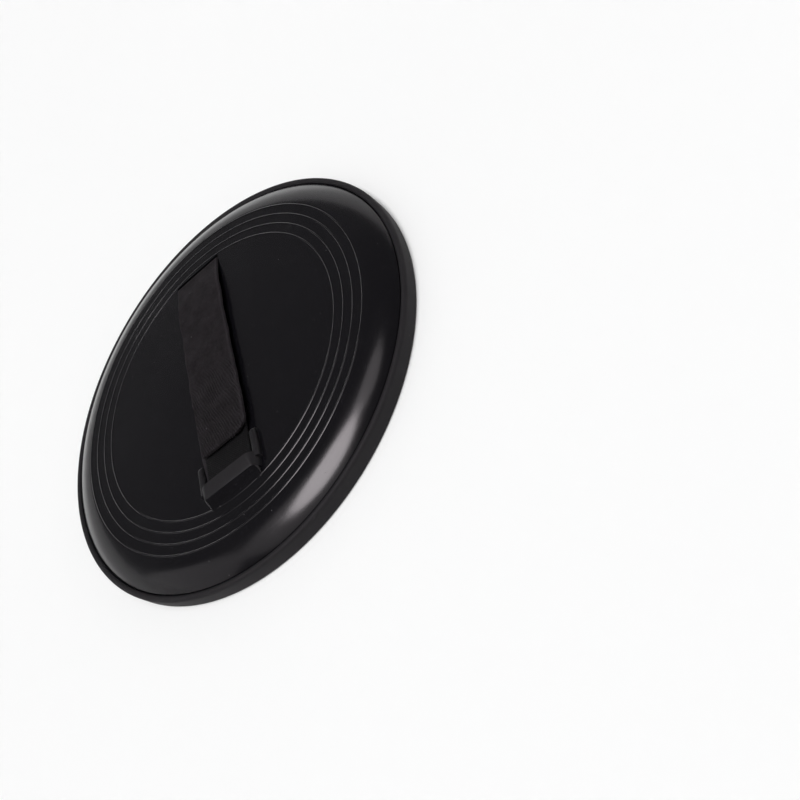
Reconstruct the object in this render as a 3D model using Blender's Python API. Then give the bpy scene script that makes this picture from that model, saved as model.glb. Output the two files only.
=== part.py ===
"""Hook and loop catch paddle, lying face down on its rim with the hand strap on top.

One round moulding carries everything. Its back has four thin raised rings, a slot for one
strap and a hooded mouth for the other. Its face is a shallow dish lined with two half
circles of loop fabric. The two straps lap over each other across the back and hold by
their own hooks and loops. Their hidden ends turn out under the plate, behind the fabric.

Metres, +Z up. The origin is on the floor under the middle of the disc. The straps run
along Y, with the slot at +Y and the hood at -Y. A distance out is measured from the middle
of the disc towards the side that a strap comes from.
"""
import math

import bmesh
import bpy
from mathutils import Vector

# The disc: its outside, its flat plate and the falling shoulder between them.
DISC_RADIUS = 0.0950
DISC_SEGMENTS = 72
PLATE_TOP = 0.0114
PLATE_THICKNESS = 0.0030
PLATE_UNDER = PLATE_TOP - PLATE_THICKNESS
SHOULDER_FOOT = 0.0061
SHOULDER_BEND = math.radians(33.0)
SHOULDER_STEPS = 8

# The round lip outside the groove, and the upright rim that the disc stands on.
LIP_RADIUS = 0.0015
LIP_TOP = 0.0067
LIP_STEPS = 8
GROOVE_WIDTH = 0.0001
RIM_OUTER_ROUND = 0.0007
RIM_INNER_ROUND = 0.0005
RIM_SEAT_WIDTH = 0.0010
ROUND_STEPS = 3

# The inside of the rim: a cove, then a cone up to the flat that carries the fabric.
RIM_BAND_WIDTH = 0.0154
FACE_RADIUS = DISC_RADIUS - RIM_BAND_WIDTH
COVE_RADIUS = 0.0022
COVE_HEIGHT = 0.0007

# The four raised rings on the back, set in from the outside of the disc.
SHOULDER_WIDTH = 0.0165
RING_PITCH = 0.00463
RING_COUNT = 4
RING_HALF_WIDTH = 0.0005
RING_HEIGHT = 0.00045
OUTER_RING = DISC_RADIUS - SHOULDER_WIDTH
INNER_RING = OUTER_RING - (RING_COUNT - 1) * RING_PITCH

# The two straps. The loop strap comes out at +Y and lies over the hook strap from -Y.
STRAP_WIDTH = 0.0250
LOOP_STRAP_THICKNESS = 0.0013
HOOK_STRAP_THICKNESS = 0.0011
LOOP_FREE_END_GAP = 0.0130
HOOK_STRAP_REACH = 0.0150
LOOP_STRAP_CORNER = 0.0060
CORNER_STEPS = 6
HOOK_STRAP_LIFT = 0.0004
LAYER_GAP = 0.0003

# The holes through the plate, just inside the inner ring, with a clearance round each strap.
SLOT_SIDE_GAP = 0.0005
SLOT_INNER_GAP = 0.0008
SLOT_OUTER_GAP = 0.0007
LOOP_SLOT_INSET = 0.0020
HOOK_SLOT_INSET = 0.0034
LOOP_DROP = INNER_RING - LOOP_SLOT_INSET - SLOT_OUTER_GAP - LOOP_STRAP_THICKNESS / 2.0
HOOK_DROP = INNER_RING - HOOK_SLOT_INSET - SLOT_OUTER_GAP - HOOK_STRAP_THICKNESS / 2.0

# Each strap turns down over a shoulder, and folds out to a tail in a pocket under the plate.
LOOP_SHOULDER = 0.0019
HOOK_SHOULDER = 0.0017
TAIL_FOLD = 0.0012
TAIL_LENGTH = 0.0125
TAIL_CLEARANCE = 0.0004
FOLD_STEPS = 6
POCKET_END_GAP = 0.0008
POCKET_ROOF_GAP = 0.0003
CUT_MARGIN = 0.0005

# The hood over the hook strap's hole, from its mouth to its foot: distance in from the foot,
# half width at the plate and on top beyond the strap's half width, rise above the plate.
HOOD_FOOT = INNER_RING - 0.0004
HOOD_SECTIONS = (
    (0.0097, 0.0025, -0.0027, 0.0049),
    (0.0067, 0.0021, -0.0013, 0.0040),
    (0.0037, 0.0015, -0.0007, 0.0030),
    (0.0020, 0.0010, -0.0007, 0.0018),
    (0.0000, 0.0004, -0.0008, 0.0003),
)
HOOD_ROOT = 0.0010
HOOD_CORNER_STEPS = 5
HOOD_FLOOR_DIP = 0.0003
# The hollow under the hood, to the same scale: distance in from the foot, rise of the ceiling.
HOOD_CEILING = ((0.0107, 0.0032), (0.0097, 0.0032), (0.0037, 0.0018), (0.0026, 0.0013))

# The low cheeks beside the hood's mouth.
CHEEK_GAP = 0.0008
CHEEK_THICKNESS = 0.0024
CHEEK_REACH = 0.0120
CHEEK_OVERLAP = 0.0017
CHEEK_RISE = 0.0028
CHEEK_ROUND = 0.0022
CHEEK_STEPS = 5

# The two halves of loop fabric.
PAD_EDGE_GAP = 0.0006
PAD_RADIUS = FACE_RADIUS - PAD_EDGE_GAP
PAD_THICKNESS = 0.0016
PAD_GAP = 0.0003
PAD_SEAM_GAP = 0.0003
PAD_SEGMENTS = 48

SMOOTH_ANGLE = math.radians(30.0)


def clear_scene():
    for item in list(bpy.data.objects):
        bpy.data.objects.remove(item, do_unlink=True)


def make_material(name, colour, roughness):
    material = bpy.data.materials.new(name)
    material.use_nodes = True
    shader = material.node_tree.nodes["Principled BSDF"]
    shader.inputs["Base Color"].default_value = (*colour, 1.0)
    shader.inputs["Roughness"].default_value = roughness
    shader.inputs["Metallic"].default_value = 0.0
    material.diffuse_color = (*colour, 1.0)
    return material


def finish_object(name, body, material=None):
    """Turn a bmesh into an object, faces outward, smooth but for its sharp edges."""
    bmesh.ops.recalc_face_normals(body, faces=body.faces)
    mesh = bpy.data.meshes.new(name)
    body.to_mesh(mesh)
    body.free()
    mesh.shade_smooth()
    mesh.set_sharp_from_angle(angle=SMOOTH_ANGLE)
    if material is not None:
        mesh.materials.append(material)
    item = bpy.data.objects.new(name, mesh)
    bpy.context.collection.objects.link(item)
    return item


def arc(centre, radius, start, end, steps):
    """Points on a circle in the plane of distance out and height, angles in radians."""
    points = []
    for step in range(steps + 1):
        angle = start + (end - start) * step / steps
        points.append((centre[0] + radius * math.cos(angle), centre[1] + radius * math.sin(angle)))
    return points


def spin_profile(name, profile, segments, material):
    """Turn a profile of (radius, height) about Z. Its two ends lie on the axis."""
    body = bmesh.new()
    verts = [body.verts.new((radius, 0.0, height)) for radius, height in profile]
    edges = [body.edges.new(pair) for pair in zip(verts, verts[1:])]
    bmesh.ops.spin(body, geom=verts + edges, cent=(0.0, 0.0, 0.0), axis=(0.0, 0.0, 1.0),
                   angle=2.0 * math.pi, steps=segments, use_merge=True)
    bmesh.ops.remove_doubles(body, verts=body.verts, dist=1e-6)
    return finish_object(name, body, material)


def extrude_outline(name, outline, push, material=None):
    """A solid from a flat outline, pushed along the vector push."""
    body = bmesh.new()
    face = body.faces.new([body.verts.new(point) for point in outline])
    pushed = bmesh.ops.extrude_face_region(body, geom=[face])["geom"]
    moved = [part for part in pushed if isinstance(part, bmesh.types.BMVert)]
    bmesh.ops.translate(body, verts=moved, vec=push)
    return finish_object(name, body, material)


def extrude_across(name, outline, side, low, high):
    """A solid across the straps, from an outline of (distance out, height)."""
    points = [(low, side * out, height) for out, height in outline]
    return extrude_outline(name, points, Vector((high - low, 0.0, 0.0)))


def combine(target, tool, operation):
    tool.hide_render = True
    tool.display_type = "WIRE"
    modifier = target.modifiers.new(tool.name, "BOOLEAN")
    modifier.object = tool
    modifier.operation = operation
    modifier.solver = "EXACT"


def shoulder_points():
    """The convex fall from the outermost ring to the groove, an arc over its own chord."""
    start = OUTER_RING + RING_HALF_WIDTH
    run = DISC_RADIUS - 2.0 * LIP_RADIUS - GROOVE_WIDTH - start
    drop = PLATE_TOP - SHOULDER_FOOT
    radius = math.hypot(run, drop) / (2.0 * math.sin(SHOULDER_BEND / 2.0))
    top = math.pi / 2.0 - math.atan2(drop, run) + SHOULDER_BEND / 2.0
    centre = (start - radius * math.cos(top), PLATE_TOP - radius * math.sin(top))
    return arc(centre, radius, top, top - SHOULDER_BEND, SHOULDER_STEPS)[1:]


def shell_profile():
    """The moulding's section, from the middle of the back round the rim to the face."""
    profile = [(0.0, PLATE_TOP)]
    for count in range(RING_COUNT):
        radius = INNER_RING + count * RING_PITCH
        profile.append((radius - RING_HALF_WIDTH, PLATE_TOP))
        profile.append((radius, PLATE_TOP + RING_HEIGHT))
        profile.append((radius + RING_HALF_WIDTH, PLATE_TOP))
    profile += shoulder_points()
    lip_centre = (DISC_RADIUS - LIP_RADIUS, LIP_TOP - LIP_RADIUS)
    profile += arc(lip_centre, LIP_RADIUS, math.pi, 0.0, LIP_STEPS)
    seat_outer = DISC_RADIUS - RIM_OUTER_ROUND
    seat_inner = seat_outer - RIM_SEAT_WIDTH
    profile += arc((seat_outer, RIM_OUTER_ROUND), RIM_OUTER_ROUND, 0.0, -math.pi / 2.0, ROUND_STEPS)
    profile += arc((seat_inner, RIM_INNER_ROUND), RIM_INNER_ROUND,
                   -math.pi / 2.0, -math.pi, ROUND_STEPS)
    # The cove runs into the cone along the cone's own slope.
    cove_middle = seat_inner - RIM_INNER_ROUND - COVE_RADIUS
    rise = PLATE_UNDER - COVE_HEIGHT
    reach = cove_middle - FACE_RADIUS
    slope = math.atan2(rise, reach) - math.asin(COVE_RADIUS / math.hypot(rise, reach))
    profile += arc((cove_middle, COVE_HEIGHT), COVE_RADIUS, 0.0, math.pi / 2.0 - slope, ROUND_STEPS)
    profile.append((FACE_RADIUS, PLATE_UNDER))
    profile.append((0.0, PLATE_UNDER))
    return profile


def add_hood():
    """A sloping hood through its sections, rooted a little into the plate."""
    body = bmesh.new()
    rings = []
    for inset, extra_base, extra_top, rise in HOOD_SECTIONS:
        out = HOOD_FOOT - inset
        half_base = STRAP_WIDTH / 2.0 + extra_base
        half_top = STRAP_WIDTH / 2.0 + extra_top
        side = [(half_base, PLATE_TOP - HOOD_ROOT)]
        for step in range(HOOD_CORNER_STEPS + 1):
            angle = 0.5 * math.pi * step / HOOD_CORNER_STEPS
            half = half_top + (half_base - half_top) * math.cos(angle)
            side.append((half, PLATE_TOP + rise * math.sin(angle)))
        section = side + [(-half, height) for half, height in reversed(side)]
        verts = [body.verts.new((x, -out, height)) for x, height in section]
        rings.append([body.edges.new(pair) for pair in zip(verts, verts[1:] + verts[:1])])
    for ring, following in zip(rings, rings[1:]):
        bmesh.ops.bridge_loops(body, edges=ring + following)
    bmesh.ops.holes_fill(body, edges=rings[0] + rings[-1], sides=0)
    return finish_object("hood_tool", body)


def add_cheek(name, side):
    """A low wall beside the strap, round at its free end, run into the hood's side."""
    mouth = HOOD_FOOT - HOOD_SECTIONS[0][0]
    start = mouth - CHEEK_REACH
    top = PLATE_TOP + CHEEK_RISE
    outline = [(start, PLATE_TOP - HOOD_ROOT)]
    outline += arc((start + CHEEK_ROUND, top - CHEEK_ROUND), CHEEK_ROUND,
                   math.pi, math.pi / 2.0, CHEEK_STEPS)
    outline.append((mouth + CHEEK_OVERLAP, top))
    outline.append((mouth + CHEEK_OVERLAP, PLATE_TOP - HOOD_ROOT))
    inner = STRAP_WIDTH / 2.0 + CHEEK_GAP
    return extrude_across(name, outline, -1.0, side * inner, side * (inner + CHEEK_THICKNESS))


def add_strap_hole(name, side, drop, thickness):
    """The cutter for a slot through the plate and the pocket for the tail behind it."""
    half = STRAP_WIDTH / 2.0 + SLOT_SIDE_GAP
    slot_inner = drop - thickness / 2.0 - SLOT_INNER_GAP
    slot_outer = drop + thickness / 2.0 + SLOT_OUTER_GAP
    pocket_end = drop + TAIL_LENGTH + POCKET_END_GAP
    pocket_top = PLATE_UNDER + TAIL_CLEARANCE + thickness + POCKET_ROOF_GAP
    outline = [
        (slot_inner, PLATE_UNDER - CUT_MARGIN),
        (slot_inner, PLATE_TOP + CUT_MARGIN),
        (slot_outer, PLATE_TOP + CUT_MARGIN),
        (slot_outer, pocket_top),
        (pocket_end, pocket_top),
        (pocket_end, PLATE_UNDER - CUT_MARGIN),
    ]
    return extrude_across(name, outline, side, -half, half)


def add_hood_hollow():
    half = STRAP_WIDTH / 2.0 + SLOT_SIDE_GAP
    floor = PLATE_TOP - HOOD_FLOOR_DIP
    ceiling = [(HOOD_FOOT - inset, PLATE_TOP + rise) for inset, rise in HOOD_CEILING]
    outline = [(ceiling[0][0], floor)] + ceiling + [(ceiling[-1][0], floor)]
    return extrude_across("hood_hollow_tool", outline, -1.0, -half, half)


def add_shell(material):
    shell = spin_profile("paddle_shell", shell_profile(), DISC_SEGMENTS, material)
    combine(shell, add_hood(), "UNION")
    combine(shell, add_cheek("left_cheek_tool", -1.0), "UNION")
    combine(shell, add_cheek("right_cheek_tool", 1.0), "UNION")
    combine(shell, add_hood_hollow(), "DIFFERENCE")
    loop_hole = add_strap_hole("loop_hole_tool", 1.0, LOOP_DROP, LOOP_STRAP_THICKNESS)
    hook_hole = add_strap_hole("hook_hole_tool", -1.0, HOOK_DROP, HOOK_STRAP_THICKNESS)
    combine(shell, loop_hole, "DIFFERENCE")
    combine(shell, hook_hole, "DIFFERENCE")


def strap_path(end, lay, drop, shoulder, thickness):
    """Middle line of a strap: flat from its free end, down its hole, then out to its tail."""
    tail_height = PLATE_UNDER + TAIL_CLEARANCE + thickness / 2.0
    path = [(end, lay)]
    path += arc((drop - shoulder, lay - shoulder), shoulder, math.pi / 2.0, 0.0, FOLD_STEPS)
    path += arc((drop + TAIL_FOLD, tail_height + TAIL_FOLD), TAIL_FOLD,
                math.pi, 1.5 * math.pi, FOLD_STEPS)
    path.append((drop + TAIL_LENGTH, tail_height))
    return path


def add_strap(name, path, side, thickness, corner, material):
    """A ribbon along its path, with one round corner at its free end."""
    half = STRAP_WIDTH / 2.0
    stations = [(path[0], half - corner)]
    for step in range(1, CORNER_STEPS + 1):
        if corner > 0.0:
            angle = 0.5 * math.pi * step / CORNER_STEPS
            place = (path[0][0] + corner * (1.0 - math.cos(angle)), path[0][1])
            stations.append((place, half - corner + corner * math.sin(angle)))
    stations += [(place, half) for place in path[1:]]
    body = bmesh.new()
    rows = []
    for (out, height), reach in stations:
        rows.append([body.verts.new((x, side * out, height)) for x in (-half, reach)])
    for row, following in zip(rows, rows[1:]):
        body.faces.new((row[0], row[1], following[1], following[0]))
    strap = finish_object(name, body, material)
    solidify = strap.modifiers.new("thickness", "SOLIDIFY")
    solidify.thickness = thickness
    solidify.offset = 0.0
    solidify.use_even_offset = True
    return strap


def add_straps(loop_material, hook_material):
    hook_lay = PLATE_TOP + HOOK_STRAP_LIFT + HOOK_STRAP_THICKNESS / 2.0
    loop_lay = hook_lay + HOOK_STRAP_THICKNESS / 2.0 + LAYER_GAP + LOOP_STRAP_THICKNESS / 2.0
    hook_path = strap_path(-HOOK_STRAP_REACH, hook_lay, HOOK_DROP, HOOK_SHOULDER,
                           HOOK_STRAP_THICKNESS)
    loop_end = LOOP_FREE_END_GAP - (HOOD_FOOT - HOOD_SECTIONS[0][0])
    loop_path = strap_path(loop_end, loop_lay, LOOP_DROP, LOOP_SHOULDER, LOOP_STRAP_THICKNESS)
    add_strap("hook_strap", hook_path, -1.0, HOOK_STRAP_THICKNESS, 0.0, hook_material)
    add_strap("loop_strap", loop_path, 1.0, LOOP_STRAP_THICKNESS, LOOP_STRAP_CORNER, loop_material)


def add_pad(name, side, material):
    """Half a circle of loop fabric against the plate, its straight edge on the seam."""
    half_seam = PAD_SEAM_GAP / 2.0
    start = math.asin(half_seam / PAD_RADIUS)
    top = PLATE_UNDER - PAD_GAP
    outline = []
    for x, y in arc((0.0, 0.0), PAD_RADIUS, start, math.pi - start, PAD_SEGMENTS):
        outline.append((x, side * y, top))
    return extrude_outline(name, outline, Vector((0.0, 0.0, -PAD_THICKNESS)), material)


clear_scene()
add_shell(make_material("black_gloss_plastic", (0.014, 0.013, 0.015), 0.28))
add_straps(make_material("black_loop_tape", (0.030, 0.027, 0.030), 0.90),
           make_material("black_hook_tape", (0.020, 0.018, 0.020), 0.80))
add_pad("green_loop_pad", 1.0, make_material("green_loop_fabric", (0.050, 0.600, 0.110), 0.85))
add_pad("pink_loop_pad", -1.0, make_material("pink_loop_fabric", (0.820, 0.032, 0.110), 0.85))
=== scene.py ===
"""The looks of a hook and loop catch paddle, lying face down with its strap on top.

Metres, +Z up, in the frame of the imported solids. The straps run along Y: the loop tape comes
out of its slot at +Y and the hook tape out of the hood at -Y. Lengths that the frame can give
are read from it, and the rest are written where they are used.
"""

import math

import bmesh
import bpy
import numpy as np
from mathutils import Matrix, Vector


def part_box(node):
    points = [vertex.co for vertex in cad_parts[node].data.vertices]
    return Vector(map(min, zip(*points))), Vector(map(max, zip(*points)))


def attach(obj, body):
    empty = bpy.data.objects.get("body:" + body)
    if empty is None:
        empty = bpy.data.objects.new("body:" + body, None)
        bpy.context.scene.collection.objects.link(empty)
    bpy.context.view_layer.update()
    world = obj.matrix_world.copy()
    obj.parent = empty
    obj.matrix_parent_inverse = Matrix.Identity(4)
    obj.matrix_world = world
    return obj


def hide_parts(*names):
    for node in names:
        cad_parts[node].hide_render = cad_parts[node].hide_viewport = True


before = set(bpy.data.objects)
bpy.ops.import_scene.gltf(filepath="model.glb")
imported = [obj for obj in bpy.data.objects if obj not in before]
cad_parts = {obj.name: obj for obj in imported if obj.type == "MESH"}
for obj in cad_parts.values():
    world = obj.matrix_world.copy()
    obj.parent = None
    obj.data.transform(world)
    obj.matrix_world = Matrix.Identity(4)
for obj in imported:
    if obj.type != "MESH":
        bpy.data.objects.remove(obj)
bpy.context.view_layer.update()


# The dish
# One injection moulding in glossy black plastic, turned but for what stands on its back.
# Its profile runs over the flat back, four hair-thin rings, a convex shoulder, a groove and
# a round lip, and comes back inside the rim by a cove and a cone to the flat face.

def shade(mesh):
    """Smooth shading, but for the edges that turn by more than 32 degrees."""
    mesh.shade_smooth()
    mesh.set_sharp_from_angle(angle=math.radians(32.0))


def surface(name, points, around=False):
    """Join a grid of points into one surface, each point to the next along both its ways.

    The grid has one row for each step along and one column for each step across. With
    around, the last column joins the first. Points that meet are merged, which closes
    seams and poles. The faces are then turned outward: a closed body whose signed volume
    comes out below zero is turned inside out.
    """
    merge_within, sliver = 2e-6, 1e-7
    rows, columns = points.shape[:2]
    index = np.arange(rows * columns).reshape(rows, columns)
    if around:
        index = np.hstack([index, index[:, :1]])
    quads = np.stack([index[:-1, :-1], index[:-1, 1:], index[1:, 1:], index[1:, :-1]], axis=-1)
    mesh = bpy.data.meshes.new(name)
    mesh.from_pydata(points.reshape(-1, 3).tolist(), [], quads.reshape(-1, 4).tolist())
    body = bmesh.new()
    body.from_mesh(mesh)
    bmesh.ops.remove_doubles(body, verts=body.verts, dist=merge_within)
    bmesh.ops.dissolve_degenerate(body, edges=body.edges, dist=sliver)
    bmesh.ops.recalc_face_normals(body, faces=body.faces)
    closed = not any(edge.is_boundary for edge in body.edges)
    if closed and body.calc_volume(signed=True) < 0.0:
        bmesh.ops.reverse_faces(body, faces=body.faces)
    body.to_mesh(mesh)
    body.free()
    shade(mesh)
    piece = bpy.data.objects.new(name, mesh)
    bpy.context.collection.objects.link(piece)
    return piece


def arc(middle, radius, start, end, steps):
    """Points (radius, height) on a circle from one angle to the other, in degrees."""
    angle = np.radians(np.linspace(start, end, steps + 1))
    return np.stack([middle[0] + radius * np.cos(angle),
                     middle[1] + radius * np.sin(angle)], axis=1)


def turned(profile, segments):
    """Carry a profile (radius, height) round Z: x and y are the radius times cosine and sine."""
    angle = 2.0 * np.pi * np.arange(segments) / segments
    radius, height = profile[:, :1], profile[:, 1:]
    return np.stack([radius * np.cos(angle), radius * np.sin(angle),
                     np.broadcast_to(height, (len(profile), segments))], axis=-1)


disc_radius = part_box("paddle_shell")[1][0]
plate_top = 0.0114
plate_wall = 0.0030
plate_under = plate_top - plate_wall
ring_count = 4
ring_step = 0.00463
ring_radii = disc_radius - 0.0165 - ring_step * np.arange(ring_count)[::-1]
ring_half_width = 0.00052
ring_guard = 0.00012
ring_height = 0.00019
lip_radius = 0.0015
lip_top = 0.0067
shoulder_foot = 0.0061
shoulder_bend = 33.0
after_ring = 0.0002
before_groove = 0.0001
plain_radius = 0.03
face_radius = disc_radius - 0.0154
cove_radius = 0.0022
cove_height = 0.0007
rim_round = 0.0007
seat_width = 0.0010
inner_round = 0.0005


def back_profile():
    """The flat back with a smooth hump for each ring, and the shoulder.

    A hump is one wave of a cosine from trough to trough, between two guard points that keep
    the flat back flat. The shoulder is an arc over the chord from the last ring to the
    groove, whose bend is shared evenly about the chord's own slope.
    """
    parts = [np.array([[0.0, plate_top], [plain_radius, plate_top]])]
    wave = np.linspace(-1.0, 1.0, 9)
    for radius in ring_radii:
        hump = plate_top + 0.5 * ring_height * (1.0 + np.cos(np.pi * wave))
        ring = np.stack([radius + ring_half_width * wave, hump], axis=1)
        parts.append([[radius - ring_half_width - ring_guard, plate_top]])
        parts.append(ring)
        parts.append([[radius + ring_half_width + ring_guard, plate_top]])
    start = ring_radii[-1] + ring_half_width + after_ring
    run = disc_radius - 2.0 * lip_radius - before_groove - start
    drop = plate_top - shoulder_foot
    bend = math.radians(shoulder_bend)
    radius = math.hypot(run, drop) / (2.0 * math.sin(bend / 2.0))
    top = math.pi / 2.0 - math.atan2(drop, run) + bend / 2.0
    middle = (start - radius * math.cos(top), plate_top - radius * math.sin(top))
    parts.append(arc(middle, radius, math.degrees(top), math.degrees(top - bend), 26))
    return parts


def rim_profile():
    """The round lip, the upright rim, its seat, the cove, the cone and the flat face."""
    seat_outer = disc_radius - rim_round
    seat_inner = seat_outer - seat_width
    cove_middle = seat_inner - inner_round - cove_radius
    rise = plate_under - cove_height
    reach = cove_middle - face_radius
    slope = math.degrees(math.atan2(rise, reach)
                         - math.asin(cove_radius / math.hypot(rise, reach)))
    cove = arc((cove_middle, cove_height), cove_radius, 0.0, 90.0 - slope, 8)
    cone_end = np.array([face_radius, plate_under])
    along = np.linspace(0.0, 1.0, 6)[1:, None]
    return [
        arc((disc_radius - lip_radius, lip_top - lip_radius), lip_radius, 180.0, 0.0, 20),
        arc((seat_outer, rim_round), rim_round, 0.0, -90.0, 6),
        arc((seat_inner, inner_round), inner_round, -90.0, -180.0, 6),
        cove,
        cove[-1] + (cone_end - cove[-1]) * along,
        np.array([[plain_radius, plate_under], [0.0, plate_under]]),
    ]


dish_profile = np.vstack(back_profile() + rim_profile())
dish = surface("moulded_dish", turned(dish_profile, segments=288), around=True)


# Each tape has a slot cut square through the back, and a shallow pocket under the plate for
# its tail. Distances are out from the middle, and the tapes go down at +Y and -Y.
strap_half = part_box("loop_strap")[1][0]
hole_half = strap_half + 0.0005
hole_overcut = 0.001
pocket_end = ring_radii[0] + 0.0087
strap_holes = (
    # side of Y, slot's inner and outer edge, pocket's roof
    (1.0, ring_radii[0] - 0.0052, ring_radii[0] - 0.0017, plate_under + 0.0020),
    (-1.0, ring_radii[0] - 0.0060, ring_radii[0] - 0.0034, plate_under + 0.0018),
)


def block(name, low, high):
    """A plain box between two corners, for cutting with."""
    body = bmesh.new()
    size = Vector(high) - Vector(low)
    middle = (Vector(high) + Vector(low)) / 2.0
    place = Matrix.Translation(middle) @ Matrix.Diagonal(size).to_4x4()
    bmesh.ops.create_cube(body, size=1.0, matrix=place)
    mesh = bpy.data.meshes.new(name)
    body.to_mesh(mesh)
    body.free()
    tool = bpy.data.objects.new(name, mesh)
    bpy.context.collection.objects.link(tool)
    return tool


def cut(piece, tool):
    """Cut the tool out of the piece for good, and throw the tool away."""
    modifier = piece.modifiers.new("cut", "BOOLEAN")
    modifier.operation = "DIFFERENCE"
    modifier.solver = "EXACT"
    modifier.object = tool
    graph = bpy.context.evaluated_depsgraph_get()
    made = bpy.data.meshes.new_from_object(piece.evaluated_get(graph))
    piece.modifiers.clear()
    piece.data = made
    bpy.data.objects.remove(tool, do_unlink=True)
    shade(made)


for side, near, far, pocket_roof in strap_holes:
    for reach, roof in ((far, plate_top + hole_overcut), (pocket_end, pocket_roof)):
        ends = sorted((side * near, side * reach))
        cut(dish, block("strap_hole_tool", (-hole_half, ends[0], plate_under - hole_overcut),
                        (hole_half, ends[1], roof)))


class Wire:
    """One socket of a material. Arithmetic on wires adds the Math nodes that work it out."""

    def __init__(self, finish, socket):
        self.finish = finish
        self.socket = socket

    def _math(self, operation, *values):
        return self.finish.node("ShaderNodeMath", {"operation": operation},
                                dict(enumerate(values)))

    def __add__(self, other):
        return self._math("ADD", self, other)

    def __radd__(self, other):
        return self._math("ADD", other, self)

    def __sub__(self, other):
        return self._math("SUBTRACT", self, other)

    def __rsub__(self, other):
        return self._math("SUBTRACT", other, self)

    def __mul__(self, other):
        return self._math("MULTIPLY", self, other)

    def __rmul__(self, other):
        return self._math("MULTIPLY", other, self)

    def __truediv__(self, other):
        return self._math("DIVIDE", self, other)

    def __pow__(self, other):
        return self._math("POWER", self, other)

    def __abs__(self):
        return self._math("ABSOLUTE", self)

    def wave(self, pitch):
        """The sine of a whole turn for each pitch."""
        return self._math("SINE", self * (2.0 * math.pi / pitch))

    def ramp(self, low, high):
        """0 below low and 1 above high, with a smooth rise between them."""
        return self.finish.node("ShaderNodeMapRange", {"interpolation_type": "SMOOTHSTEP"},
                                {"Value": self, "From Min": low, "From Max": high})


class Finish:
    """A material: one Principled shader and the nodes that vary it over the surface."""

    def __init__(self, name, **fixed):
        self.material = bpy.data.materials.new(name)
        self.material.use_nodes = True
        self.nodes = self.material.node_tree.nodes
        self.links = self.material.node_tree.links
        self.shader = self.nodes["Principled BSDF"]
        for socket, value in fixed.items():
            self.shader.inputs[socket.replace("_", " ")].default_value = value
        self.place = self.node("ShaderNodeTexCoord", output="Object")

    def node(self, kind, settings=None, inputs=None, output=0):
        """Add a node: its settings first, then its sockets' values or wires."""
        made = self.nodes.new(kind)
        for name, value in (settings or {}).items():
            setattr(made, name, value)
        for socket, value in (inputs or {}).items():
            if isinstance(value, Wire):
                self.links.new(value.socket, made.inputs[socket])
            else:
                made.inputs[socket].default_value = value
        return Wire(self, made.outputs[output])

    def axis(self, place, letter):
        """One coordinate of a place: X, Y or Z."""
        return self.node("ShaderNodeSeparateXYZ", {}, {"Vector": place}, output=letter)

    def noise(self, size, detail=2.0, roughness=0.5, place=None):
        """Clouds from 0 to 1 whose features are about size across, in metres."""
        return self.node("ShaderNodeTexNoise", {},
                         {"Vector": place or self.place, "Scale": 1.0 / size,
                          "Detail": detail, "Roughness": roughness})

    def specks(self, size, share):
        """1 on round specks of the given size, on the given share of the cells, else 0."""
        cell, pick = (
            self.node("ShaderNodeTexVoronoi", {}, {"Vector": self.place, "Scale": 0.2 / size},
                      output=kind)
            for kind in ("Distance", "Color"))
        chance = self.node("ShaderNodeSeparateColor", {}, {"Color": pick}, output="Red")
        return (1.0 - cell.ramp(0.06, 0.14)) * chance.ramp(1.0 - share, 1.001 - share)

    def mix(self, factor, first, second):
        """The first colour where the factor is 0 and the second where it is 1."""
        return self.node("ShaderNodeMix", {"data_type": "RGBA"},
                         {0: factor, 6: first, 7: second}, output=2)

    def colour(self, wire):
        self.links.new(wire.socket, self.shader.inputs["Base Color"])

    def rough(self, wire):
        self.links.new(wire.socket, self.shader.inputs["Roughness"])

    def bump(self, height, depth):
        """Raise the surface by the height, about 0 to 1, times the depth in metres."""
        made = self.node("ShaderNodeBump", {}, {"Height": height, "Distance": depth,
                                                "Strength": 1.0})
        self.links.new(made.socket, self.shader.inputs["Normal"])

    def put_on(self, piece):
        piece.data.materials.clear()
        piece.data.materials.append(self.material)


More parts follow.
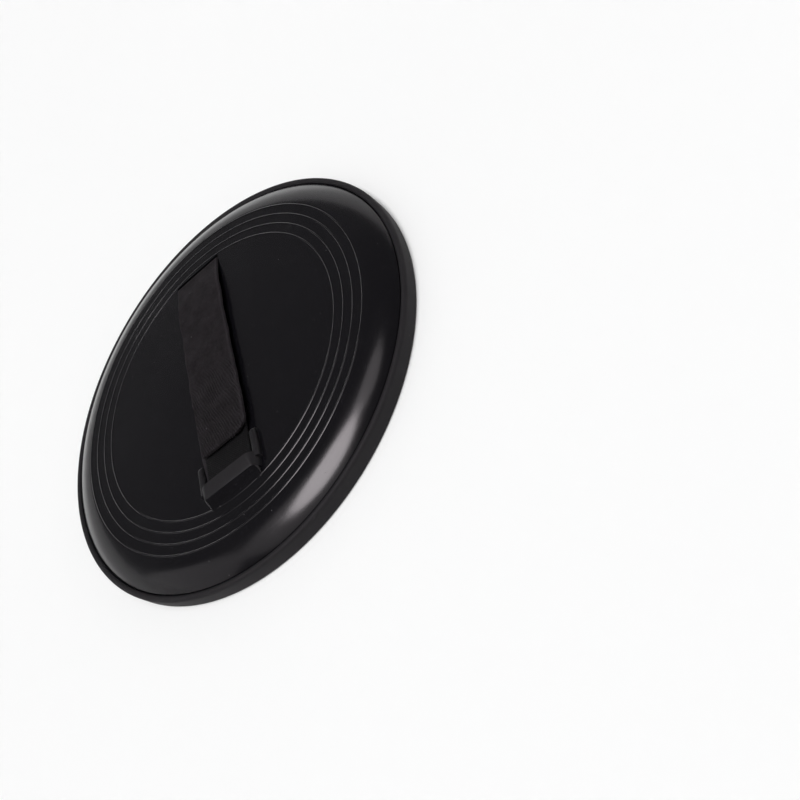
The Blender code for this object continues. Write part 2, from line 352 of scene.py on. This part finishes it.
def moulded(name, gloss, grain, polished_from=0.2, dull_rim=0.0):
    """Black plastic: smudges and round polishing marks in its gloss, dust and a fine grain.

    The marks are clouds over the radius and the direction from Z, long drawn round the disc.
    Further than polished_from along -Y the roughness goes over from gloss to polished.
    dull_rim is added to it outside the groove, on the lip and the upright rim.
    """
    polished = 0.10
    marks_outward, marks_round = 1400.0, 3.0
    fade = 0.0003
    black, dust_tone = (0.0038, 0.0036, 0.0048, 1.0), (0.20, 0.19, 0.20, 1.0)
    plastic = Finish(name, Metallic=0.0, IOR=1.49, Specular_IOR_Level=0.40,
                     Specular_Tint=(1.0, 0.93, 0.965, 1.0))
    smudge = plastic.noise(0.022, 3.0, 0.55)
    film = plastic.noise(0.0065, 4.0, 0.6).ramp(0.55, 0.9)
    dust = plastic.specks(0.00035, 0.03)
    x, y = plastic.axis(plastic.place, "X"), plastic.axis(plastic.place, "Y")
    radius = (x * x + y * y) ** 0.5
    polar = plastic.node("ShaderNodeCombineXYZ", {}, {"X": radius * marks_outward,
                                                      "Y": x / radius * marks_round,
                                                      "Z": y / radius * marks_round})
    marks = plastic.noise(1.0, 3.0, 0.6, place=polar)
    plastic.colour(plastic.mix(dust * 0.35 + film * 0.012, black, dust_tone))
    satin = 1.0 - (0.0 - y).ramp(polished_from - fade, polished_from + fade)
    rim = radius.ramp(disc_radius - 2.0 * lip_radius, disc_radius - 1.5 * lip_radius)
    plastic.rough(polished + (gloss - polished) * satin + dull_rim * rim
                  + 0.07 * smudge + 0.07 * marks + 0.04 * film + 0.3 * dust)
    fine, slow = plastic.noise(0.0009, 1.0), plastic.noise(0.011, 1.0)
    plastic.bump(fine * (satin * grain) + slow * 6.0, 0.000004)
    return plastic


black_plastic = moulded("black_moulded_plastic", 0.10, 1.3, dull_rim=0.55)
black_plastic.put_on(dish)
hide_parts("paddle_shell")
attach(dish, "root")


# The hood and its cheeks
# Part of the same moulding: a sloping roof over the hook tape's hole, open towards the middle
# of the disc, with a low round wall on each side of the tape. They have a satin grain, and the
# hood's front is polished as the back is.

hood_foot = ring_radii[0] - 0.0004
hood_length = 0.0097
hood_mouth = hood_foot - hood_length
hood_front = 0.0037
satin_plastic = moulded("black_satin_plastic", 0.38, 8.0, polished_from=hood_foot - hood_front)

hood_steps = np.array([
    # distance in from the foot, base and top beyond the tape's half width, rise
    [hood_length, 0.0025, -0.0027, 0.0049],
    [0.0068, 0.0021, -0.0018, 0.0045],
    [0.0042, 0.0016, -0.0010, 0.0041],
    [hood_front - 0.0002, 0.0014, -0.0008, 0.0037],
    [0.0018, 0.0010, -0.0006, 0.0018],
    [0.0000, 0.0005, -0.0005, 0.0000],
])
hood_wall = 0.0013
hood_sunk = 0.00012


def smooth_rows(table, count):
    """More rows between a table's rows, on a curve whose slope is shared at each row."""
    place = np.linspace(0.0, len(table) - 1.0, count)
    low = np.clip(place.astype(int), 0, len(table) - 2)
    t = (place - low)[:, None]
    slope = np.gradient(table, axis=0)
    a, b, m, n = table[low], table[low + 1], slope[low], slope[low + 1]
    return ((2 * t**3 - 3 * t**2 + 1) * a + (t**3 - 2 * t**2 + t) * m
            + (3 * t**2 - 2 * t**3) * b + (t**3 - t**2) * n)


def hood_points(inset):
    """Sections across the hood, each a flat top between two quarter ellipses.

    inset draws the whole section in and down, for the inner side of the wall. Its feet are
    sunk a little way into the back.
    """
    least_side, least_rise = 0.0004, 0.00005
    rows = smooth_rows(hood_steps, 33)
    quarter = np.radians(np.linspace(0.0, 90.0, 17))
    back, base, top, rise = (rows[:, i:i + 1] for i in range(4))
    half_base = strap_half + base - inset
    half_top = np.minimum(strap_half + top, half_base - least_side)
    height = np.maximum(rise - inset, least_rise)
    side = half_top + (half_base - half_top) * np.cos(quarter)
    level = plate_top - hood_sunk + height * np.sin(quarter) + 0.0 * side
    x = np.hstack([side, -side[:, ::-1]])
    z = np.hstack([level, level[:, ::-1]])
    y = -(hood_foot - back) + 0.0 * x
    return np.stack([x, y, z], axis=-1)


def wall(outer, inner):
    """One closed wall: each section runs out over the outer surface and back along the inner.

    A row at each end draws both to the line midway between them, a little proud at the mouth.
    """
    proud = np.array([0.0, 0.0003, 0.0])
    first = 0.5 * (outer[0] + inner[0]) + proud
    last = 0.5 * (outer[-1] + inner[-1])
    return np.concatenate([np.concatenate([first, first[::-1]])[None],
                           np.concatenate([outer, inner[:, ::-1]], axis=1),
                           np.concatenate([last, last[::-1]])[None]])


hood = surface("strap_hood", wall(hood_points(0.0), hood_points(hood_wall)), around=True)
satin_plastic.put_on(hood)
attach(hood, "root")

cheek_inner = strap_half - 0.0001
cheek_outer = strap_half + 0.0031
cheek_reach = 0.0120
cheek_in_hood = 0.0022
cheek_sunk = 0.0003
cheek_rise = 0.0030
cheek_round = 0.0026
cheek_lean = 0.0004


def cheek_points(side):
    """A round-topped wall as one closed surface, from its free end into the hood.

    The height is the full rise times a superellipse across the wall, times another over the
    rounding of the free end, where the sides lean in. The flat underside lies just inside
    the plate.
    """
    across = np.sin(np.radians(np.linspace(-90.0, 90.0, 25)))[None, :]
    length = cheek_reach + cheek_in_hood
    turn = np.radians(np.linspace(0.0, 90.0, 15))
    along = np.concatenate([cheek_round * (1.0 - np.cos(turn)),
                            np.linspace(cheek_round, length, 10)[1:], [length]])[:, None]
    over = (1.0 - np.abs(across) ** 3.0) ** (1.0 / 3.0)
    end = (1.0 - (1.0 - np.clip(along / cheek_round, 0.0, 1.0)) ** 2.2) ** (1.0 / 2.2)
    end[-1] = 0.0
    x = side * ((cheek_inner + cheek_outer) + (cheek_outer - cheek_inner) * across) / 2.0
    x = x + side * cheek_lean * (1.0 - end) * -across
    y = -(hood_mouth - cheek_reach + along) + 0.0 * x
    bottom = plate_top - cheek_sunk
    top = np.stack([x + 0.0 * y, y, bottom + cheek_rise * over * end], axis=-1)
    under = np.stack([x + 0.0 * y, y, bottom + 0.0 * y], axis=-1)
    return np.concatenate([top, under[::-1]], axis=0)


for cheek_name, cheek_side in (("hood_cheek_left", -1.0), ("hood_cheek_right", 1.0)):
    cheek = surface(cheek_name, cheek_points(cheek_side))
    satin_plastic.put_on(cheek)
    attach(cheek, "root")


# The hook tape
# A woven nylon tape with rows of small stiff hooks on its upper side, held in the hood.
# It lies flat on the back and runs under the loop tape, with its left edge just showing.

def smooth(t):
    """A rise from 0 to 1 that starts and ends level, held at 0 before and 1 after."""
    t = np.clip(t, 0.0, 1.0)
    return t * t * (3.0 - 2.0 * t)


def route(points, corner, step):
    """Round off a bent line and lay points along it at an even step.

    The line is sampled finely, then each point becomes the mean of its neighbours within the
    corner's length, which turns each bend into a smooth curve.
    """
    finer = 8
    points = np.array(points)
    length = np.concatenate([[0.0], np.cumsum(np.linalg.norm(np.diff(points, axis=0), axis=1))])
    fine = np.arange(0.0, length[-1], step / finer)
    line = np.stack([np.interp(fine, length, points[:, i]) for i in range(2)], axis=1)
    reach = max(int(corner / (step / finer)), 1)
    beyond = np.arange(1, reach + 1)[:, None]
    padded = np.concatenate([line[0] + (line[0] - line[1]) * beyond[::-1], line,
                             line[-1] + (line[-1] - line[-2]) * beyond])
    kernel = np.ones(2 * reach + 1) / (2 * reach + 1)
    soft = np.stack([np.convolve(padded[:, i], kernel, "valid") for i in range(2)], axis=1)
    return soft[::finer]


tape_columns = 49
tape_edge = 0.00045


def tape(name, line, side, thickness, left, right, lift):
    """A tape carried along a line of (distance out, height), as one closed surface.

    Across, the tape runs from left to right on top and back below, with its columns closer
    towards the edges. Its thickness falls by a quarter ellipse at both edges and both ends,
    so top and bottom meet there. lift is added to the height, for its waves. side says
    whether the line runs out along +Y or -Y.
    """
    before, after = np.roll(line, 1, axis=0), np.roll(line, -1, axis=0)
    before[0], after[-1] = line[0], line[-1]
    along = after - before
    along = along / np.linalg.norm(along, axis=1, keepdims=True)
    normal = np.stack([-along[:, 1], along[:, 0]], axis=1)
    share = np.sin(np.linspace(-0.5, 0.5, tape_columns) * np.pi)
    share = 0.35 * share + 0.65 * np.linspace(-1.0, 1.0, tape_columns)
    x = (left + right)[:, None] / 2.0 + (right - left)[:, None] / 2.0 * share
    travelled = np.concatenate([[0.0], np.cumsum(np.linalg.norm(np.diff(line, axis=0), axis=1))])
    to_side = np.minimum(x - left[:, None], right[:, None] - x)
    to_end = np.minimum(travelled, travelled[-1] - travelled)[:, None]
    nearest = np.clip(np.minimum(to_side, to_end) / tape_edge, 0.0, 1.0)
    half = thickness / 2.0 * np.sqrt(np.clip(1.0 - (1.0 - nearest) ** 2, 0.0, 1.0))
    sheets = []
    for sign in (1.0, -1.0):
        out = line[:, :1] + sign * half * normal[:, :1]
        up = line[:, 1:] + sign * half * normal[:, 1:] + lift
        sheets.append(np.stack([x, side * out, up], axis=-1))
    return surface(name, np.concatenate([sheets[0], sheets[1][:, ::-1]], axis=1), around=True)


def tape_uv(piece):
    """Write a map in metres: each point's own X across the tape and its Y along it."""
    mesh = piece.data
    place = np.empty(len(mesh.vertices) * 3)
    mesh.vertices.foreach_get("co", place)
    corner = np.empty(len(mesh.loops), dtype=int)
    mesh.loops.foreach_get("vertex_index", corner)
    place = place.reshape(-1, 3)[corner]
    layer = mesh.uv_layers.new(name="weave")
    layer.data.foreach_set("uv", place[:, :2].ravel())


tail_length = 0.0120
hook_thickness = 0.0011
hook_past_middle = 0.0150
hook_above = 0.0004
hook_to_slot = 0.0007
hook_slot_end = strap_holes[1][2]
hook_lay = plate_top + hook_above + hook_thickness / 2.0
hook_drop = hook_slot_end - hook_to_slot - hook_thickness / 2.0
hook_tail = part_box("hook_strap")[0][2] + hook_thickness / 2.0
hook_line = route([(-hook_past_middle, hook_lay), (hook_drop, hook_lay), (hook_drop, hook_tail),
                   (hook_drop + tail_length, hook_tail)], corner=0.0009, step=0.0005)
hook_sway = np.array([
    # distance out, left edge and right edge drawn in
    [-0.015, -0.0010, 0.0006],
    [0.023, -0.0011, 0.0006],
    [0.040, -0.0007, 0.0008],
    [0.050, 0.0004, 0.0009],
])
hook_left, hook_right = (np.interp(hook_line[:, 0], hook_sway[:, 0], hook_sway[:, i])
                         for i in (1, 2))
hook_tape = tape("hook_tape", hook_line, -1.0, hook_thickness,
                 -strap_half + hook_left, strap_half - hook_right, lift=0.0)
tape_uv(hook_tape)

hook_weave = Finish("black_hook_tape", Metallic=0.0, Sheen_Weight=0.02, Specular_IOR_Level=0.12)
hook_map = hook_weave.node("ShaderNodeUVMap", {"uv_map": "weave"})
hook_across, hook_along = hook_weave.axis(hook_map, "X"), hook_weave.axis(hook_map, "Y")
hook_pitch = 0.0009
hook_dots = hook_across.wave(hook_pitch) * hook_along.wave(hook_pitch * 1.3)
hook_bristle = hook_dots.ramp(0.1, 0.8)
# Only the left edge is made paler: partly the tape's woven edge, partly a painted highlight
# where that edge catches the light. The right edge, which lies in shade, is left dark.
hook_selvedge_highlight = (0.0 - hook_across).ramp(0.0108, 0.0114)
hook_weave.colour(hook_weave.mix(hook_bristle * 0.12 + hook_selvedge_highlight * 0.65,
                                 (0.0024, 0.0020, 0.0027, 1.0), (0.023, 0.020, 0.023, 1.0)))
hook_weave.rough(0.62 + 0.2 * hook_weave.noise(0.0007))
hook_weave.bump(hook_bristle * (1.0 - hook_selvedge_highlight) + 0.3 * hook_weave.noise(0.0003), 0.00025)
hook_weave.put_on(hook_tape)
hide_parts("hook_strap")
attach(hook_tape, "root")


# The loop tape
# A knitted nylon tape brushed into a low fuzzy pile, 25 mm wide. It comes up out of the slot
# and is pressed down along the hook tape. Its cut end is a little lifted, with one round corner.

loop_thickness = 0.0013
loop_set_in = 0.0035
loop_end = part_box("loop_strap")[0][1]
loop_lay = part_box("loop_strap")[1][2] - loop_thickness / 2.0
loop_drop = ring_radii[0] - loop_set_in - loop_thickness / 2.0
loop_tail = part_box("loop_strap")[0][2] + loop_thickness / 2.0
sink_depth = 0.0019
sink_bend = 0.0008
sink_out = np.linspace(loop_drop - 0.0170, loop_drop - sink_bend, 9)
sink = loop_lay - sink_depth * smooth((sink_out - sink_out[0]) / 0.0165)
loop_line = route([(loop_end, loop_lay), *zip(sink_out, sink), (loop_drop, sink[-1] - sink_bend),
                   (loop_drop, loop_tail), (loop_drop + tail_length, loop_tail)],
                  corner=0.0010, step=0.0004)
loop_travel = loop_line[:, 0] - loop_end
loop_sway = np.array([
    # distance out, left edge drawn in, right edge drawn out
    [-0.0415, 0.0016, 0.0008],
    [-0.025, 0.0006, 0.0009],
    [-0.007, 0.0, 0.0006],
    [0.020, 0.0002, 0.0004],
    [0.045, 0.0003, 0.0007],
    [0.060, 0.0001, 0.0004],
])


def corner_cut(radius):
    """How far a corner of this radius draws the edge in, by a quarter circle at the free end."""
    into = np.clip(1.0 - loop_travel / radius, 0.0, 1.0)
    return radius * (1.0 - np.sqrt(1.0 - into ** 2))


sway_left, sway_right = (np.interp(loop_line[:, 0], loop_sway[:, 0], loop_sway[:, i])
                         for i in (1, 2))
wobble = (0.00012 * np.sin(loop_line[:, 0] * 310.0)
          + 0.00008 * np.sin(loop_line[:, 0] * 730.0 + 1.0))
flat_part = smooth((loop_drop - 0.004 - loop_line[:, 0]) / 0.01)
across = np.linspace(-1.0, 1.0, tape_columns)
waves = (0.00013 * np.sin(loop_line[:, :1] * 240.0 + 1.3 * across)
         + 0.00010 * np.sin(loop_line[:, :1] * 520.0 - 2.1 * across + 0.7))
end_lift = 0.0005 * (1.0 - smooth(loop_travel[:, None] / 0.010)) * (0.75 + 0.25 * across)
loop_lift = (waves + 0.00012) * flat_part[:, None] + end_lift
loop_tape = tape("loop_tape", loop_line, 1.0, loop_thickness,
                 -strap_half + corner_cut(0.0012) + sway_left + wobble * flat_part,
                 strap_half - corner_cut(0.0062) + sway_right - wobble * flat_part, loop_lift)
tape_uv(loop_tape)

loop_pile = Finish("black_loop_tape", Metallic=0.0, Sheen_Weight=0.03, Sheen_Roughness=0.5,
                   Specular_IOR_Level=0.1)
loop_map = loop_pile.node("ShaderNodeUVMap", {"uv_map": "weave"})
loop_across, loop_along = loop_pile.axis(loop_map, "X"), loop_pile.axis(loop_map, "Y")
rib_map = loop_pile.node("ShaderNodeMapping", {},
                         {"Vector": loop_map, "Rotation": (0.0, 0.0, math.radians(-20.0))})
rib_pitch = 0.00115
rib_bend = loop_pile.noise(0.0110, 1.0) * 0.0034 + loop_pile.noise(0.0022, 1.0) * 0.0005
rib_break = 0.15 + 0.85 * loop_pile.noise(0.0028, 2.0).ramp(0.30, 0.62)
ribs = 0.5 + 0.5 * rib_break * (loop_pile.axis(rib_map, "X") + rib_bend).wave(rib_pitch)
rib_zone = 1.0 - (loop_along + 0.016 * loop_pile.noise(0.006, 1.0)).ramp(-0.008, 0.012)
fuzz = loop_pile.noise(0.0006, 4.0, 0.7)
cloud = loop_pile.noise(0.0060, 3.0, 0.6)
lint = loop_pile.specks(0.00045, 0.035)
worn = loop_pile.noise(0.0016, 3.0, 0.7)
# Both edges are made paler: partly a woven edge, partly a painted highlight where the tape's
# sides catch the light.
loop_selvedge_highlight = abs(loop_across).ramp(0.0113, 0.0120)
loop_tone = ((fuzz * 0.35 + cloud * 0.35 + worn * 0.30).ramp(0.34, 0.66)
             + (ribs - 0.5) * rib_zone * 0.6 + loop_selvedge_highlight * 0.7)
loop_black = loop_pile.mix(loop_tone, (0.0048, 0.0036, 0.0044, 1.0),
                           (0.0165, 0.0136, 0.0160, 1.0))
loop_pile.colour(loop_pile.mix(lint * 0.35, loop_black, (0.26, 0.25, 0.26, 1.0)))
loop_pile.rough(0.86 + 0.1 * fuzz)
loop_pile.bump(fuzz * 0.5 + cloud * 0.3 + ribs * rib_zone * 0.7, 0.00032)
loop_pile.put_on(loop_tape)
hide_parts("loop_strap")
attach(loop_tape, "root")


# The loop fabric
# Two half circles of brushed nylon loop on a thin foam back, stuck to the flat face. The green
# half is laid last: its woven edge, left pale, overlaps the straight edge of the pink half.
# Beside that edge the pink half is painted darker, as its shadow.

def half_disc(name, side, radius, seam_at, back, thickness, proud):
    """Half a circle of fabric as one closed surface, seen from below.

    A point is a share of the radius, with more rows near the round edge, and an angle over
    half a turn, with more columns near the seam. Its depth below the back is the thickness
    plus a slow wave, and plus proud along the seam. It falls by a quarter ellipse towards the
    round edge and the seam.
    """
    round_edge, seam_edge = 0.0016, 0.0007
    share = 1.0 - (1.0 - np.linspace(0.0, 1.0, 90)[:, None]) ** 1.5
    angle = np.linspace(0.0, np.pi, 161)[None, :]
    angle = angle - 0.35 * np.sin(2.0 * angle) / 2.0
    x = radius * share * np.cos(angle)
    y = radius * share * np.sin(angle)
    to_round = radius * (1.0 - share) + 0.0 * y
    to_edge = np.minimum(to_round / round_edge, y / seam_edge)
    full = np.sqrt(np.clip(1.0 - (1.0 - np.clip(to_edge, 0.0, 1.0)) ** 2, 0.0, 1.0))
    wave = 0.00006 * np.sin(170.0 * x + 60.0 * y) * np.sin(120.0 * y - 40.0 * x)
    depth = (thickness + wave + proud * (1.0 - smooth((y - 0.003) / 0.006))) * full
    front = np.stack([x, side * y + seam_at, back - depth], axis=-1)
    rear = np.stack([x, side * y + seam_at, back + 0.0 * depth], axis=-1)
    return surface(name, np.concatenate([front, rear[::-1]], axis=0))


def loop_fabric(name, dark, bright, selvedge_and_shadow_tone, edge_width, edge_share):
    """Brushed loops over fine knitted cords, with another tone along the seam's edge.

    The cords run across the seam, 0.8 mm apart, with knots 1.1 mm apart on them, and sway a
    little. The edge tone is broken along the seam, as a row of small stitches is. On the green
    half it is the pale woven edge; on the pink half it is painted shadow beside the overlapping
    green edge.
    """
    cloth = Finish(name, Metallic=0.0, Sheen_Weight=0.10, Sheen_Roughness=0.45,
                   Specular_IOR_Level=0.15)
    fuzz = cloth.noise(0.0007, 4.0, 0.7)
    cloud = cloth.noise(0.012, 3.0, 0.6)
    x, y = cloth.axis(cloth.place, "X"), cloth.axis(cloth.place, "Y")
    sway = cloth.noise(0.006, 1.0) * 0.0011
    cords = 0.5 + 0.5 * (x + sway).wave(0.0008)
    knots = 0.5 + 0.5 * (y + sway).wave(0.0011)
    tone = cloth.mix((fuzz * 0.40 + cloud * 0.25 + cords * 0.22 + knots * 0.13).ramp(0.22, 0.78),
                     dark, bright)
    stitch = 0.45 + 0.55 * (0.5 + 0.5 * x.wave(0.0019))
    ragged = abs(y) + (cloth.noise(0.0012) - 0.5) * 0.0007
    # Along the seam: a pale woven edge on the green half, a painted shadow on the pink half.
    edge = (1.0 - ragged.ramp(edge_width, edge_width + 0.0006)) * stitch
    cloth.colour(cloth.mix(edge * edge_share, tone, selvedge_and_shadow_tone))
    cloth.rough(0.82 + 0.12 * fuzz)
    cloth.bump(fuzz * 0.5 + cords * 0.3 + knots * 0.2, 0.00022)
    return cloth


pad_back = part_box("green_loop_pad")[1][2]
pad_thickness = pad_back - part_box("green_loop_pad")[0][2]
pad_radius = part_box("green_loop_pad")[1][0]
halves = (
    # name, node, side of Y, where the seam's edge lies, how proud it is, slot, cloth
    ("green_loop_half", "green_loop_pad", 1.0, -0.0012, 0.00035, "green_loop_fabric",
     loop_fabric("green_loop", (0.040, 0.44, 0.066, 1.0), (0.085, 0.68, 0.140, 1.0),
                 (0.34, 0.74, 0.36, 1.0), 0.0013, 0.60)),
    # The pink half's dark red seam tone is painted shadow under the green half's overlapping
    # edge.
    ("pink_loop_half", "pink_loop_pad", -1.0, -0.0002, -0.0002, "pink_loop_fabric",
     loop_fabric("pink_loop", (0.62, 0.014, 0.052, 1.0), (0.88, 0.032, 0.115, 1.0),
                 (0.24, 0.010, 0.022, 1.0), 0.0020, 0.85)),
)
for half_name, node, side, seam_at, proud, slot_name, cloth in halves:
    half = half_disc(half_name, side, pad_radius, seam_at, pad_back, pad_thickness, proud)
    cloth.put_on(half)
    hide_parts(node)
    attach(half, "root")


# The table and the studio round it
# A plain white board that sweeps up into a low white wall all round. A softbox hangs overhead
# with the ceiling lit round it, and the rest of the room above the wall is dim.

sweep_radius = 6.0
sweep_bend = 1.0
wall_height = sweep_radius * math.tan(math.radians(23.5))
board_top = -0.00005
board_middle = 0.5
sweep_line = np.vstack([
    [[0.0, board_top], [board_middle, board_top]],
    arc((sweep_radius - sweep_bend, board_top + sweep_bend), sweep_bend, -90.0, 0.0, 32),
    [[sweep_radius, wall_height]],
])
floor = surface("floor", turned(sweep_line, segments=128), around=True)
board = Finish("white_board", Metallic=0.0, Specular_IOR_Level=0.2)
board_tone = board.noise(0.35, 2.0)
board.colour(board.mix(board_tone, (0.925, 0.925, 0.925, 1.0), (0.945, 0.945, 0.945, 1.0)))
board.rough(0.75 + 0.1 * board_tone)
board.put_on(floor)

world = bpy.data.worlds.new("studio")
bpy.context.scene.world = world
world.use_nodes = True
room = world.node_tree.nodes["Background"].inputs
room["Color"].default_value = (1.0, 1.0, 1.0, 1.0)
room["Strength"].default_value = 0.115


def far_lamp(name, power, width, side, rise):
    """A far lamp of an angular width, in the direction of an azimuth and a rise, in degrees."""
    light = bpy.data.lights.new(name, "SUN")
    light.energy = power
    light.angle = math.radians(width)
    lamp = bpy.data.objects.new(name, light)
    bpy.context.collection.objects.link(lamp)
    flat = math.cos(math.radians(rise))
    toward = Vector((flat * math.cos(math.radians(side)), flat * math.sin(math.radians(side)),
                     math.sin(math.radians(rise))))
    lamp.rotation_euler = toward.to_track_quat("Z", "Y").to_euler()


for lamp_values in (
        ("softbox", 2.08, 30.0, -112.0, 81.0),
        ("ceiling_bounce", 0.36, 50.0, -125.0, 72.0),
        ("back_bounce", 0.20, 22.0, 30.0, 74.0),
        ("side_bounce", 0.20, 40.0, -172.0, 34.0)):
    far_lamp(*lamp_values)


# The camera
# It looks down on the back from about 35 degrees, close and rolled well over, as the
# photograph does. Its place and axes come from circles fitted to the rim and the rings.

eye = Vector((0.19325, -0.28995, 0.24065))
camera_right = Vector((0.75190, -0.24468, -0.61219))
camera_up = Vector((0.55961, 0.72779, 0.39643))
camera = bpy.data.objects.new("camera", bpy.data.cameras.new("camera"))
bpy.context.collection.objects.link(camera)
camera_back = camera_right.cross(camera_up)
camera.matrix_world = Matrix.Translation(eye) @ Matrix(
    (camera_right, camera_up, camera_back)).transposed().to_4x4()
camera.data.sensor_width = 36.0
camera.data.lens = 45.0
camera.data.clip_start = 0.01
camera.data.clip_end = 50.0
bpy.context.scene.camera = camera
bpy.context.scene.view_settings.view_transform = "Standard"
